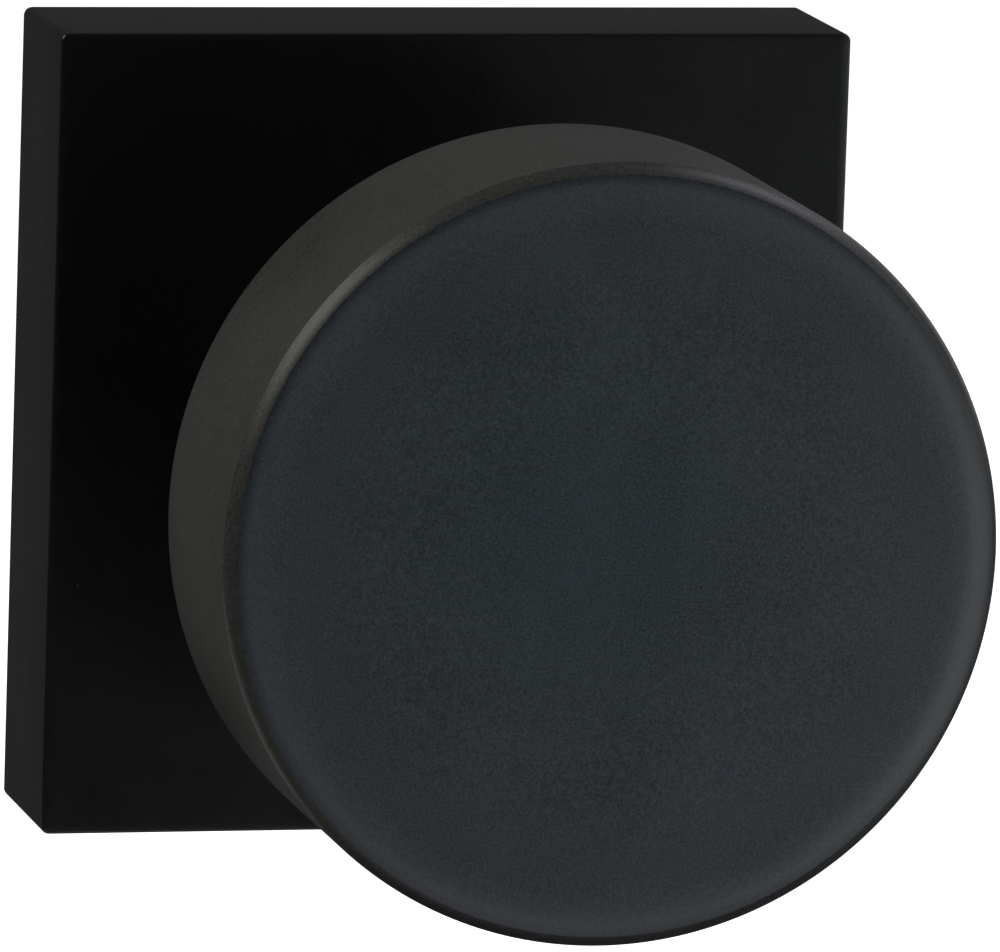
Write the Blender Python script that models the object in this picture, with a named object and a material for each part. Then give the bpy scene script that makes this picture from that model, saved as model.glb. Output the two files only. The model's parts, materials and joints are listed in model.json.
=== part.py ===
"""A round puck door knob on a square sprung rosette, with its spindle and fixing bolts.

Metres, +Z up. The door's face is the plane Y = 0 and the spindle's axis is the Y axis. The knob
stands out towards -Y, and the spindle and the bolts run into the door towards +Y. A distance
called "out" is measured from the door's face towards the room, so it is -Y.
"""

import math

import bmesh
import bpy
from mathutils import Matrix, Vector

# Room between neighbouring pieces, and how far a cutter runs past the face it opens
GAP = 0.0003
PAST = 0.0010

# Rosette cover: a square cap, open towards the door
ROSE_SIDE = 0.0667
ROSE_DEPTH = 0.0162
ROSE_WALL = 0.0024
ROSE_FRONT = 0.0020
ROSE_CORNER = 0.0007
ROSE_EDGE = 0.0002
ROSE_INNER_CORNER = 0.0006
BOSS_WALL = 0.0014
BOSS_REACH = 0.0014

# Puck: a drum with a crowned front face and a narrow chamfered rim
PUCK_RADIUS = 0.03115
PUCK_BACK = 0.0523
PUCK_SHOULDER = 0.0731
PUCK_RIM_WIDTH = 0.00088
PUCK_RIM_DEPTH = 0.0008
PUCK_CROWN = 0.0005
PUCK_WALL = 0.0021
BACK_PLATE_THICK = 0.0025

# Neck between the rosette and the puck
NECK_RADIUS = 0.0120
NECK_BORE = 0.0093
NECK_START = 0.0106
NECK_END = 0.0580
NECK_SCREW_OUT = 0.0230
NECK_SCREW_RADIUS = 0.0022

# Retaining ring, open below, in a groove near the neck's inner end
GROOVE_RADIUS = 0.0112
GROOVE_START = NECK_START + 0.0005
GROOVE_WIDTH = 0.0012
RING_RADIUS = 0.0136
RING_THICK = 0.0008
RING_HALF_ANGLE = math.radians(150)

# Square spindle, through the door to the other side's knob
SPINDLE_SIDE = 0.0079
SPINDLE_HOLE = 0.0084
SPINDLE_FRONT = 0.0400
SPINDLE_BACK = -0.0500
SPINDLE_CORNER = 0.0005
SPINDLE_CHAMFER = 0.0006
SOCKET_END = SPINDLE_FRONT + 0.0020

# Mounting plate: a tray that the two through bolts hold to the door
PLATE_SIDE = 0.0610
PLATE_THICK = 0.0022
PLATE_RIM_OUT = 0.0045
PLATE_RIM_WALL = 0.0013
PLATE_CORNER = 0.0010
TRAY_CORNER = 0.0008
TAB_WIDTH = 0.0120
TAB_THICK = 0.0015
TAB_INSET = 0.0018
TAB_OUT = 0.0118
GRUB_OUT = 0.0085
WINDOW_HALF = 0.0035
WINDOW_CORNER = 0.0012
WINDOW_PLACE = 0.0225

# Through bolts, at the 38 mm centres of a 54 mm door bore
BOLT_SPACING = 0.0380
BOLT_RADIUS = 0.0020
BOLT_HEAD_RADIUS = 0.0034
BOLT_HEAD = 0.0024
BOLT_BACK = -0.0420
BOLT_WASHER = 0.0008
SCREW_POINT = 0.0004

# A screw head's cross recess, as shares of the head's radius and height
RECESS_WIDTH = 0.30
RECESS_REACH = 0.62
RECESS_FLOOR = 0.45

# Spring housing, from the plate outwards
HOUSING_RADIUS = 0.0150
HOUSING_WALL = 0.0016
HOUSING_START = PLATE_THICK + GAP
HOUSING_FLOOR = 0.0034
HOUSING_TOP = 0.0083
LID_THICK = 0.0008
EAR_PLACE = 0.0119
EAR_RADIUS = 0.0027
LID_SCREW_RADIUS = 0.0012
LID_SCREW_HEAD = 0.0022
LID_SCREW_HEIGHT = 0.0014

# Hub that turns with the spindle, its lug and the stop that limits it
HUB_RADIUS = 0.0076
LUG_RADIUS = 0.0096
LUG_HALF_ANGLE = math.radians(28)
LUG_ROOM = 0.0004
TURN_LIMIT = math.radians(60)
STOP_PLAY = math.radians(1)

# Return spring round the hub
SPRING_RADIUS = 0.0110
SPRING_WIRE = 0.0006
SPRING_TURNS = 2.5
SPRING_BEND = 0.0015
SPRING_LEG_IN = 0.0083
SPRING_LEG_OUT = 0.0144
LEG_SLOT_HALF = SPRING_WIRE + GAP

# The door sides of the pieces stacked between the lid and the rosette's front
LID_START = HOUSING_TOP + GAP
LID_TOP = LID_START + LID_THICK
BUSH_FLANGE = 0.0005
BUSH_FLANGE_REACH = 0.0009
BUSH_WALL = 0.0010
BUSH_RECESS = 0.0002
WASHER_INNER = 0.0083
WASHER_OUTER = 0.0115
WASHER_THICK = 0.00025
WASHER_WAVES = 3

SEGMENTS = 64
COATING = ((0.022, 0.025, 0.027), 0.45, 0.0)
ZINC = ((0.55, 0.55, 0.53), 0.40, 1.0)
STEEL = ((0.48, 0.48, 0.50), 0.30, 1.0)
SPRING_STEEL = ((0.30, 0.29, 0.28), 0.35, 1.0)
BRASS = ((0.72, 0.53, 0.27), 0.35, 1.0)
NYLON = ((0.03, 0.03, 0.03), 0.60, 0.0)


def clear_scene():
    for obj in list(bpy.data.objects):
        bpy.data.objects.remove(obj)


def material(name, look):
    """A Principled material from a look: base colour, roughness and metallic value."""
    colour, roughness, metallic = look
    made = bpy.data.materials.new(name)
    made.use_nodes = True
    shader = made.node_tree.nodes["Principled BSDF"]
    shader.inputs["Base Color"].default_value = (*colour, 1.0)
    shader.inputs["Roughness"].default_value = roughness
    shader.inputs["Metallic"].default_value = metallic
    return made


def add_object(name, bm, look=None, parent=None, place=(0, 0, 0), turn=(0, 0, 0)):
    """Makes an object from a bmesh. Without a look it is a cutter or a tool, left out of the part."""
    bmesh.ops.recalc_face_normals(bm, faces=bm.faces)
    mesh = bpy.data.meshes.new(name)
    bm.to_mesh(mesh)
    bm.free()
    obj = bpy.data.objects.new(name, mesh)
    bpy.context.collection.objects.link(obj)
    obj.parent = parent
    obj.location = place
    obj.rotation_euler = turn
    if look is None:
        obj.hide_render = True
        obj.display_type = "WIRE"
    else:
        mesh.materials.append(material(name, look))
        mesh.shade_smooth()
        mesh.set_sharp_from_angle(angle=math.radians(32))
    return obj


def combine(obj, tool, operation="DIFFERENCE"):
    """Cuts the tool from the object, or joins it on, with a Boolean that stays live."""
    step = obj.modifiers.new(f"{operation.lower()}_{tool.name}", "BOOLEAN")
    step.operation = operation
    step.object = tool
    step.solver = "EXACT"
    tool.parent = obj.parent


def at(x, out, z):
    """A point from its distance out from the door."""
    return Vector((x, -out, z))


def bridge(bm, loops, closed):
    """Quads between neighbouring loops of vertices. A loop of one vertex closes to a fan."""
    pairs = list(zip(loops, loops[1:]))
    if closed:
        pairs.append((loops[-1], loops[0]))
    for first, second in pairs:
        count = max(len(first), len(second))
        for i in range(count):
            corners = []
            for loop, j in ((first, i), (first, i + 1), (second, i + 1), (second, i)):
                vert = loop[j % len(loop)]
                if vert not in corners:
                    corners.append(vert)
            bm.faces.new(corners)


def lathe(outline, segments=SEGMENTS):
    """A bmesh turned round the Y axis from (radius, out) points.

    Points on the axis at both ends make a solid, and an outline that is clear of the axis makes a ring.
    """
    bm = bmesh.new()
    loops = []
    for radius, out in outline:
        if radius == 0:
            loops.append([bm.verts.new(at(0, out, 0))])
            continue
        angles = [2 * math.pi * i / segments for i in range(segments)]
        loops.append([bm.verts.new(at(radius * math.cos(a), out, radius * math.sin(a))) for a in angles])
    bridge(bm, loops, closed=outline[0][0] > 0)
    return bm


def rounded_square(half, corner, steps=4):
    """Points (x, z) round a square with rounded corners."""
    points = []
    for quarter in range(4):
        middle = math.pi / 4 + quarter * math.pi / 2
        reach = (half - corner) * math.sqrt(2)
        for i in range(steps + 1):
            a = quarter * math.pi / 2 + i / steps * math.pi / 2
            x = reach * math.cos(middle) + corner * math.cos(a)
            z = reach * math.sin(middle) + corner * math.sin(a)
            points.append((x, z))
    return points


def square_bar(sections, steps=4):
    """A closed bmesh through square sections, each (half side, corner radius, out)."""
    bm = bmesh.new()
    loops = []
    for half, corner, out in sections:
        loops.append([bm.verts.new(at(x, out, z)) for x, z in rounded_square(half, corner, steps)])
    bridge(bm, loops, closed=False)
    bm.faces.new(loops[0])
    bm.faces.new(loops[-1])
    return bm


def box(low, high):
    """A box between two corners, each (x, out, z)."""
    bm = bmesh.new()
    size = [abs(b - a) for a, b in zip(low, high)]
    middle = [(a + b) / 2 for a, b in zip(low, high)]
    bmesh.ops.create_cube(bm, size=1.0)
    bmesh.ops.scale(bm, vec=size, verts=bm.verts)
    bmesh.ops.translate(bm, vec=at(*middle), verts=bm.verts)
    return bm


def rod(radius, start, end, segments=24):
    """A plain cylinder along the Y axis."""
    return lathe([(0, start), (radius, start), (radius, end), (0, end)], segments)


def upright_rod(radius, low, high, out, segments=24):
    """A plain cylinder along Z, at a distance out from the door."""
    bm = rod(radius, -high, -low, segments)
    bmesh.ops.rotate(bm, matrix=Matrix.Rotation(math.radians(90), 3, "X"), verts=bm.verts)
    bmesh.ops.translate(bm, vec=at(0, out, 0), verts=bm.verts)
    return bm


def sector(inner, outer, start, end, low_out, high_out, steps=24):
    """Part of a ring between two radii and two angles, measured from +Z towards +X."""
    bm = bmesh.new()
    loops = []
    for i in range(steps + 1):
        a = start + (end - start) * i / steps
        loop = []
        for radius, out in ((inner, low_out), (outer, low_out), (outer, high_out), (inner, high_out)):
            loop.append(bm.verts.new(at(radius * math.sin(a), out, radius * math.cos(a))))
        loops.append(loop)
    bridge(bm, loops, closed=False)
    bm.faces.new(loops[0])
    bm.faces.new(loops[-1])
    return bm


def merge(parts):
    """Several bmeshes that stand clear of each other, as one."""
    bm = bmesh.new()
    for part in parts:
        mesh = bpy.data.meshes.new("part")
        part.to_mesh(mesh)
        part.free()
        bm.from_mesh(mesh)
        bpy.data.meshes.remove(mesh)
    return bm


def moved(bm, x, z):
    bmesh.ops.translate(bm, vec=(x, 0, z), verts=bm.verts)
    return bm


def ear_places():
    return [(x * EAR_PLACE, z * EAR_PLACE) for x in (-1, 1) for z in (-1, 1)]


def rosette_cover():
    half = ROSE_SIDE / 2
    sections = [(half, ROSE_CORNER, 0)]
    for i in range(4):
        a = i / 3 * math.pi / 2
        inset = ROSE_EDGE * (1 - math.cos(a))
        sections.append((half - inset, ROSE_CORNER - inset, ROSE_DEPTH - ROSE_EDGE * (1 - math.sin(a))))
    cover = add_object("rosette_cover", square_bar(sections), COATING)
    inside = half - ROSE_WALL
    inner_out = ROSE_DEPTH - ROSE_FRONT
    hollow = square_bar([(inside, ROSE_INNER_CORNER, -PAST), (inside, ROSE_INNER_CORNER, inner_out)], steps=2)
    combine(cover, add_object("cover_hollow", hollow))
    boss = upright_rod(BOLT_RADIUS + BOSS_WALL, -half + ROSE_WALL / 2, -inside + BOSS_REACH, GRUB_OUT)
    combine(cover, add_object("cover_boss", boss), "UNION")
    neck_hole = rod(NECK_RADIUS + BUSH_WALL + 2 * GAP, inner_out - PAST, ROSE_DEPTH + PAST, 48)
    combine(cover, add_object("cover_neck_hole", neck_hole))
    grub_hole = upright_rod(BOLT_RADIUS + GAP, -half - PAST, -inside + BOSS_REACH + PAST, GRUB_OUT)
    combine(cover, add_object("cover_grub_hole", grub_hole))


def mounting_plate():
    half = PLATE_SIDE / 2
    slab = square_bar([(half, PLATE_CORNER, 0), (half, PLATE_CORNER, PLATE_RIM_OUT)])
    plate = add_object("mounting_plate", slab, ZINC)
    tray = half - PLATE_RIM_WALL
    hollow = square_bar([(tray, TRAY_CORNER, PLATE_THICK), (tray, TRAY_CORNER, PLATE_RIM_OUT + PAST)])
    combine(plate, add_object("plate_tray", hollow))
    tabs = []
    for side in (-1, 1):
        near = side * (half - TAB_INSET - TAB_THICK)
        far = side * (half - TAB_INSET)
        tabs.append(box((-TAB_WIDTH / 2, PLATE_THICK / 2, near), (TAB_WIDTH / 2, TAB_OUT, far)))
    combine(plate, add_object("plate_tabs", merge(tabs)), "UNION")
    through = PLATE_THICK + PAST
    holes = [rod(HUB_RADIUS + 2 * GAP, -PAST, through, 32)]
    for side in (-1, 1):
        holes.append(moved(rod(BOLT_RADIUS + GAP, -PAST, through, 20), side * BOLT_SPACING / 2, 0))
    for x, z in ear_places():
        holes.append(moved(rod(LID_SCREW_RADIUS + GAP, -PAST, through, 16), x, z))
    for x in (-WINDOW_PLACE, WINDOW_PLACE):
        for z in (-WINDOW_PLACE, WINDOW_PLACE):
            ends = [(WINDOW_HALF, WINDOW_CORNER, out) for out in (-PAST, through)]
            holes.append(moved(square_bar(ends, steps=3), x, z))
    combine(plate, add_object("plate_holes", merge(holes)))


def eared_disc(name, start, end):
    """A round disc with four ears, as the housing and its lid share."""
    disc = add_object(name, rod(HOUSING_RADIUS, start, end, 48), ZINC)
    ears = [moved(rod(EAR_RADIUS, start, end, 20), x, z) for x, z in ear_places()]
    combine(disc, add_object(f"{name}_ears", merge(ears)), "UNION")
    return disc


def spring_housing():
    housing = eared_disc("spring_housing", HOUSING_START, HOUSING_TOP)
    stop_start = LUG_HALF_ANGLE + TURN_LIMIT + STOP_PLAY
    outline = [
        (LUG_RADIUS, HOUSING_FLOOR),
        (HOUSING_RADIUS - HOUSING_WALL, HOUSING_FLOOR),
        (HOUSING_RADIUS - HOUSING_WALL, HOUSING_TOP + PAST),
        (LUG_RADIUS, HOUSING_TOP + PAST),
    ]
    combine(housing, add_object("housing_ring", lathe(outline, 48)))
    top = HOUSING_TOP + PAST
    low = HOUSING_START - PAST
    open_half = sector(
        HUB_RADIUS - PAST, LUG_RADIUS + LUG_ROOM, -stop_start, stop_start, HOUSING_FLOOR, top
    )
    combine(housing, add_object("housing_open_half", open_half))
    combine(housing, add_object("housing_bore", rod(HUB_RADIUS + GAP, low, top, 48)))
    holes = [moved(rod(LID_SCREW_RADIUS + GAP, low, top, 16), x, z) for x, z in ear_places()]
    slot_low = -HOUSING_RADIUS - PAST
    slot_high = -HOUSING_RADIUS + HOUSING_WALL + PAST
    slot = box((-LEG_SLOT_HALF, HOUSING_FLOOR, slot_low), (LEG_SLOT_HALF, top, slot_high))
    combine(housing, add_object("housing_holes", merge(holes + [slot])))


def housing_lid():
    lid = eared_disc("housing_lid", LID_START, LID_TOP)
    holes = [rod(HUB_RADIUS + GAP, LID_START - PAST, LID_TOP + PAST, 32)]
    for x, z in ear_places():
        holes.append(moved(rod(LID_SCREW_RADIUS + GAP, LID_START - PAST, LID_TOP + PAST, 16), x, z))
    combine(lid, add_object("lid_holes", merge(holes)))


def cross_recess(width, reach, start, end):
    """A cross for a screwdriver, cut into a head from its top."""
    return [
        box((-reach, start, -width / 2), (reach, end, width / 2)),
        box((-width / 2, start, -reach), (width / 2, end, reach)),
    ]


def pan_screw(name, shank, length, head, height, place, look):
    """A pan-head screw. Its origin is under the head, and its shank runs towards the door."""
    outline = [
        (0, -length),
        (shank - SCREW_POINT, -length),
        (shank, -length + SCREW_POINT),
        (shank, 0),
        (head, 0),
        (head, height * 0.45),
        (head * 0.86, height * 0.82),
        (head * 0.62, height),
        (0, height),
    ]
    screw = add_object(name, lathe(outline, 20), look, place=place)
    recess = cross_recess(RECESS_WIDTH * head, RECESS_REACH * head, RECESS_FLOOR * height, height + PAST)
    for bar, cutter in enumerate(recess):
        tool = add_object(f"{name}_slot_{bar}", cutter, place=place)
        combine(screw, tool)


def fasteners():
    for corner, (x, z) in enumerate(ear_places(), 1):
        place = at(x, LID_TOP + GAP, z)
        length = LID_TOP + GAP - SCREW_POINT
        pan_screw(
            f"lid_screw_{corner}", LID_SCREW_RADIUS, length, LID_SCREW_HEAD, LID_SCREW_HEIGHT, place, STEEL
        )
    washer_start = PLATE_THICK + GAP
    washer_end = washer_start + BOLT_WASHER
    for name, side in (("left", -1), ("right", 1)):
        x = side * BOLT_SPACING / 2
        outline = [
            (BOLT_RADIUS + GAP, washer_start),
            (BOLT_HEAD_RADIUS + GAP, washer_start),
            (BOLT_HEAD_RADIUS + GAP, washer_end),
            (BOLT_RADIUS + GAP, washer_end),
        ]
        add_object(f"bolt_washer_{name}", moved(lathe(outline, 24), x, 0), STEEL)
        under_head = washer_end + GAP
        pan_screw(
            f"through_bolt_{name}",
            BOLT_RADIUS,
            under_head - BOLT_BACK,
            BOLT_HEAD_RADIUS,
            BOLT_HEAD,
            at(x, under_head, 0),
            STEEL,
        )


def grub_screw(name, radius, length, place, parent=None):
    """A headless socket screw along Z, with its hexagon socket at its lower end, at its place."""
    tip = radius * 0.55
    outline = [
        (0, -length),
        (tip, -length),
        (radius, -length + radius - tip),
        (radius, -GAP),
        (radius - GAP, 0),
        (0, 0),
    ]
    facing_down = (math.radians(90), 0, 0)
    screw = add_object(name, lathe(outline, 20), STEEL, parent, place, facing_down)
    socket = rod(radius * 0.58, -length * 0.45, PAST, 6)
    combine(screw, add_object(f"{name}_socket", socket, parent=parent, place=place, turn=facing_down))


def return_spring():
    """A coil round the hub. One leg is held in the housing's slot, the other in the hub's lug."""
    points = spring_points()
    data = bpy.data.curves.new("return_spring", "CURVE")
    data.dimensions = "3D"
    data.bevel_depth = SPRING_WIRE
    data.bevel_resolution = 2
    data.use_fill_caps = True
    spline = data.splines.new("POLY")
    spline.points.add(len(points) - 1)
    for slot, point in zip(spline.points, points):
        slot.co = (*point, 1.0)
    data.materials.append(material("return_spring", SPRING_STEEL))
    spring = bpy.data.objects.new("return_spring", data)
    bpy.context.collection.objects.link(spring)


def spring_points():
    """The wire's centre line: outer leg below the axis, coil, inner leg above the axis."""
    low = HOUSING_FLOOR + GAP + SPRING_WIRE
    high = HOUSING_TOP - SPRING_WIRE
    outer_middle = SPRING_RADIUS + SPRING_BEND
    inner_middle = SPRING_RADIUS - SPRING_BEND
    outer_angle = math.asin(SPRING_BEND / outer_middle)
    inner_angle = math.asin(SPRING_BEND / inner_middle)
    flat = [(SPRING_LEG_OUT, 0.0, low)]
    bend_steps = 6
    for i in range(bend_steps + 1):
        a = math.radians(270) - i / bend_steps * (math.radians(90) - outer_angle)
        flat.append(
            (
                outer_middle * math.cos(outer_angle) + SPRING_BEND * math.cos(a),
                SPRING_BEND + SPRING_BEND * math.sin(a),
                low,
            )
        )
    sweep = SPRING_TURNS * 2 * math.pi - outer_angle - inner_angle
    coil_steps = round(SPRING_TURNS * 20)
    for i in range(1, coil_steps + 1):
        a = outer_angle + sweep * i / coil_steps
        rise = low + (high - low) * i / coil_steps
        flat.append((SPRING_RADIUS * math.cos(a), SPRING_RADIUS * math.sin(a), rise))
    turned = SPRING_TURNS * 2 * math.pi
    for i in range(1, bend_steps + 1):
        a = -inner_angle + i / bend_steps * (math.radians(90) + inner_angle)
        u = inner_middle * math.cos(inner_angle) + SPRING_BEND * math.cos(a)
        v = -SPRING_BEND + SPRING_BEND * math.sin(a)
        across = u * math.cos(turned) - v * math.sin(turned)
        along = u * math.sin(turned) + v * math.cos(turned)
        flat.append((across, along, high))
    flat.append((SPRING_LEG_IN * math.cos(turned), SPRING_LEG_IN * math.sin(turned), high))
    return [at(-v, out, -u) for u, v, out in flat]


def drive_hub(axis):
    hub = add_object("drive_hub", rod(HUB_RADIUS, PLATE_THICK / 2, LID_TOP + GAP, 48), ZINC, axis)
    lug = sector(
        HUB_RADIUS - PAST, LUG_RADIUS, -LUG_HALF_ANGLE, LUG_HALF_ANGLE,
        HOUSING_FLOOR + GAP, HOUSING_TOP - GAP, steps=10,
    )
    combine(hub, add_object("hub_lug", lug), "UNION")
    half = SPINDLE_HOLE / 2
    hole = box((-half, 0, -half), (half, LID_TOP + PAST, half))
    combine(hub, add_object("hub_square_hole", hole))
    leg_out = HOUSING_TOP - 2 * SPRING_WIRE
    slot_low = SPRING_LEG_IN - GAP
    slot_start = (-LEG_SLOT_HALF, leg_out - GAP, slot_low)
    slot_end = (LEG_SLOT_HALF, HOUSING_TOP + PAST, LUG_RADIUS + PAST)
    slot = box(slot_start, slot_end)
    combine(hub, add_object("hub_leg_slot", slot))


def spindle(axis):
    half = SPINDLE_SIDE / 2
    sections = [
        (half - SPINDLE_CHAMFER, SPINDLE_CORNER, SPINDLE_BACK),
        (half, SPINDLE_CORNER, SPINDLE_BACK + SPINDLE_CHAMFER),
        (half, SPINDLE_CORNER, SPINDLE_FRONT - SPINDLE_CHAMFER),
        (half - SPINDLE_CHAMFER, SPINDLE_CORNER, SPINDLE_FRONT),
    ]
    add_object("spindle", square_bar(sections, steps=2), STEEL, axis)


def neck(axis):
    groove_end = GROOVE_START + GROOVE_WIDTH
    outline = [
        (NECK_BORE, NECK_START),
        (NECK_RADIUS, NECK_START),
        (NECK_RADIUS, GROOVE_START),
        (GROOVE_RADIUS, GROOVE_START),
        (GROOVE_RADIUS, groove_end),
        (NECK_RADIUS, groove_end),
        (NECK_RADIUS, NECK_END),
        (NECK_BORE, NECK_END),
    ]
    tube = add_object("knob_neck", lathe(outline, 48), COATING, axis)
    hole_radius = NECK_SCREW_RADIUS + GAP
    hole = upright_rod(hole_radius, -NECK_RADIUS - PAST, -NECK_BORE + PAST, NECK_SCREW_OUT)
    combine(tube, add_object("neck_screw_hole", hole))
    screw_end = NECK_RADIUS - GAP
    screw_length = screw_end - SPINDLE_SIDE / 2 - GAP
    grub_screw("neck_set_screw", NECK_SCREW_RADIUS, screw_length, at(0, NECK_SCREW_OUT, -screw_end), axis)


def spindle_socket(axis):
    bar = rod(NECK_BORE - GAP, LID_TOP + 3 * GAP, SOCKET_END, 48)
    socket = add_object("spindle_socket", bar, BRASS, axis)
    half = SPINDLE_HOLE / 2
    square = box((-half, 0, -half), (half, SOCKET_END + PAST, half))
    combine(socket, add_object("socket_square_hole", square))
    hole = upright_rod(NECK_SCREW_RADIUS + GAP, -NECK_RADIUS, 0, NECK_SCREW_OUT)
    combine(socket, add_object("socket_screw_hole", hole))


def retaining_ring(axis):
    start = GROOVE_START + GAP / 2
    ring = sector(
        GROOVE_RADIUS + GAP, RING_RADIUS, -RING_HALF_ANGLE, RING_HALF_ANGLE,
        start, start + RING_THICK, steps=36,
    )
    add_object("retaining_ring", ring, SPRING_STEEL, axis)


def wave_washer():
    """A thin spring ring with waves round it, which takes up the play behind the neck."""
    bm = bmesh.new()
    loops = []
    low = LID_TOP + GAP
    swing = (NECK_START - GAP - low - WASHER_THICK) / 2
    steps = 48
    for i in range(steps):
        a = 2 * math.pi * i / steps
        start = low + swing + swing * math.sin(WASHER_WAVES * a)
        end = start + WASHER_THICK
        loop = []
        for radius, out in ((WASHER_INNER, start), (WASHER_OUTER, start)):
            loop.append(bm.verts.new(at(radius * math.cos(a), out, radius * math.sin(a))))
        for radius, out in ((WASHER_OUTER, end), (WASHER_INNER, end)):
            loop.append(bm.verts.new(at(radius * math.cos(a), out, radius * math.sin(a))))
        loops.append(loop)
    bridge(bm, loops, closed=True)
    add_object("wave_washer", bm, SPRING_STEEL)


def neck_bush():
    inner = NECK_RADIUS + GAP
    outer = inner + BUSH_WALL
    flange_end = ROSE_DEPTH - ROSE_FRONT - GAP
    flange_start = flange_end - BUSH_FLANGE
    flange = outer + BUSH_FLANGE_REACH
    front = ROSE_DEPTH - BUSH_RECESS
    outline = [
        (inner, flange_start),
        (flange, flange_start),
        (flange, flange_end),
        (outer, flange_end),
        (outer, front),
        (inner, front),
    ]
    add_object("neck_bush", lathe(outline, 48), NYLON)


def puck(axis):
    rim_front = PUCK_SHOULDER + PUCK_RIM_DEPTH
    face_radius = PUCK_RADIUS - PUCK_RIM_WIDTH
    inner = PUCK_RADIUS - PUCK_WALL
    outline = [(0, rim_front + PUCK_CROWN)]
    for share in (0.35, 0.7, 0.9):
        outline.append((face_radius * share, rim_front + PUCK_CROWN * (1 - share**2)))
    outline.append((face_radius, rim_front))
    outline.append((face_radius + PUCK_RIM_WIDTH * 0.56, rim_front - PUCK_RIM_DEPTH * 0.43))
    outline.append((PUCK_RADIUS, PUCK_SHOULDER))
    outline.append((PUCK_RADIUS, PUCK_BACK + GAP))
    outline.append((PUCK_RADIUS - GAP, PUCK_BACK))
    outline.append((inner, PUCK_BACK))
    outline.append((inner, rim_front - PUCK_WALL))
    outline.append((0, rim_front - PUCK_WALL))
    add_object("knob_shell", lathe(outline, 80), COATING, axis)

    plate_front = PUCK_BACK + BACK_PLATE_THICK
    back = [
        (NECK_RADIUS + GAP, PUCK_BACK),
        (inner - GAP, PUCK_BACK),
        (inner - GAP, plate_front),
        (NECK_RADIUS + GAP, plate_front),
    ]
    add_object("knob_back_plate", lathe(back, 64), COATING, axis)


def main():
    clear_scene()
    rosette_cover()
    mounting_plate()
    spring_housing()
    housing_lid()
    fasteners()
    grub_end = ROSE_SIDE / 2 - GAP
    grub_length = grub_end - (PLATE_SIDE / 2 - TAB_INSET) - GAP
    grub_screw("rosette_grub_screw", BOLT_RADIUS, grub_length, at(0, GRUB_OUT, -grub_end))
    return_spring()
    wave_washer()
    neck_bush()

    axis = bpy.data.objects.new("knob_turn_axis", None)
    bpy.context.collection.objects.link(axis)
    drive_hub(axis)
    spindle(axis)
    neck(axis)
    spindle_socket(axis)
    retaining_ring(axis)
    puck(axis)


main()
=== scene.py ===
"""The looks of a matte black puck door knob on a square rosette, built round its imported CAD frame.

Metres, +Z up. The door's face is Y = 0 and the knob stands out towards -Y, so "out" is -Y.
"""

import json
import math

import bmesh
import bpy
from mathutils import Matrix, Quaternion, Vector


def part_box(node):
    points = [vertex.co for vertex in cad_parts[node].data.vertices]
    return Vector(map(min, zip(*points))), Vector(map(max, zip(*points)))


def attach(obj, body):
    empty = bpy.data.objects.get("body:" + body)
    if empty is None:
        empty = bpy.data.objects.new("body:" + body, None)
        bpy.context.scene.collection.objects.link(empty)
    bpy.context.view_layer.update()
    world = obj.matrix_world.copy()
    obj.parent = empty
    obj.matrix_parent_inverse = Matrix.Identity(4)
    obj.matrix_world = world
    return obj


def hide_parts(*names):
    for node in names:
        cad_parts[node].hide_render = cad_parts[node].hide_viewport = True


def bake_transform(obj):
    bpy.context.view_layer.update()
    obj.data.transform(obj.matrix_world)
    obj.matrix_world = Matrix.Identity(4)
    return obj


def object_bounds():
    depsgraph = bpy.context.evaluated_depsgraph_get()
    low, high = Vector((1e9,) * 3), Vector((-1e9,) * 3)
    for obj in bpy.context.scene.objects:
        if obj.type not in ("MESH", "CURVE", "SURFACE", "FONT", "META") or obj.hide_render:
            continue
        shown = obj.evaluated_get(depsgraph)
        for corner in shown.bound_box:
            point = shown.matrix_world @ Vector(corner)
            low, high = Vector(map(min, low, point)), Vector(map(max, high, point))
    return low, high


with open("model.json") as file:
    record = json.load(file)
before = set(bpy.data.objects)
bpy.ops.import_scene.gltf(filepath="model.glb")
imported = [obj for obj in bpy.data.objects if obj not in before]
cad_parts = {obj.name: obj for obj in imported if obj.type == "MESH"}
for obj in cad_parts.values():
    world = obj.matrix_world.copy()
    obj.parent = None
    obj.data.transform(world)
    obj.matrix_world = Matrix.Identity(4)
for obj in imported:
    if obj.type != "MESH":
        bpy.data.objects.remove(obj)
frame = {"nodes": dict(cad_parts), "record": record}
cad_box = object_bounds()

# The camera: a long lens, left of the knob's axis and above it
CAMERA_AZIMUTH = math.radians(-13.706)
CAMERA_ELEVATION = math.radians(9.755)
CAMERA_ROLL = math.radians(1.873)
CAMERA_DISTANCE = 1.011
CAMERA_LENS = 432.0
SENSOR_WIDTH = 36.0
CAMERA_AIM = Vector((0.00858, 0.0, -0.00651))

SEGMENTS = 256
FLOOR_DROP = 0.10

# The coat: the sizes of its grain, mottle and clouds, the depth of its pits, and its dust
GRAIN_SIZE = 0.00020
MOTTLE_SIZE = 0.0007
CLOUD_SIZE = 0.011
WALL_PIT_DEPTH = 0.0000034
FACE_PIT_DEPTH = 0.0000030
COAT_IOR = 1.5
DUST_SPACING = 0.0026
DUST_PATCH_SIZE = 0.0047
DUST_STRENGTH = 0.5
DUST_COLOUR = (0.12, 0.12, 0.12)

# The face's painted highlight, a paler ring inside its edge, and the painted shade colour it turns to at its
# edge
PAINTED_HALO_SHARE = 0.32
PAINTED_HALO_COLOUR = (0.110, 0.120, 0.130)
FACE_EDGE_SHADE_COLOUR = (0.008, 0.008, 0.009)

# What turns up all over: an eased edge, the gap between pieces as in the CAD, and how far a cut runs past
EASE = 0.0001
CAD_GAP = 0.0003
PAST = 0.001

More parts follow.
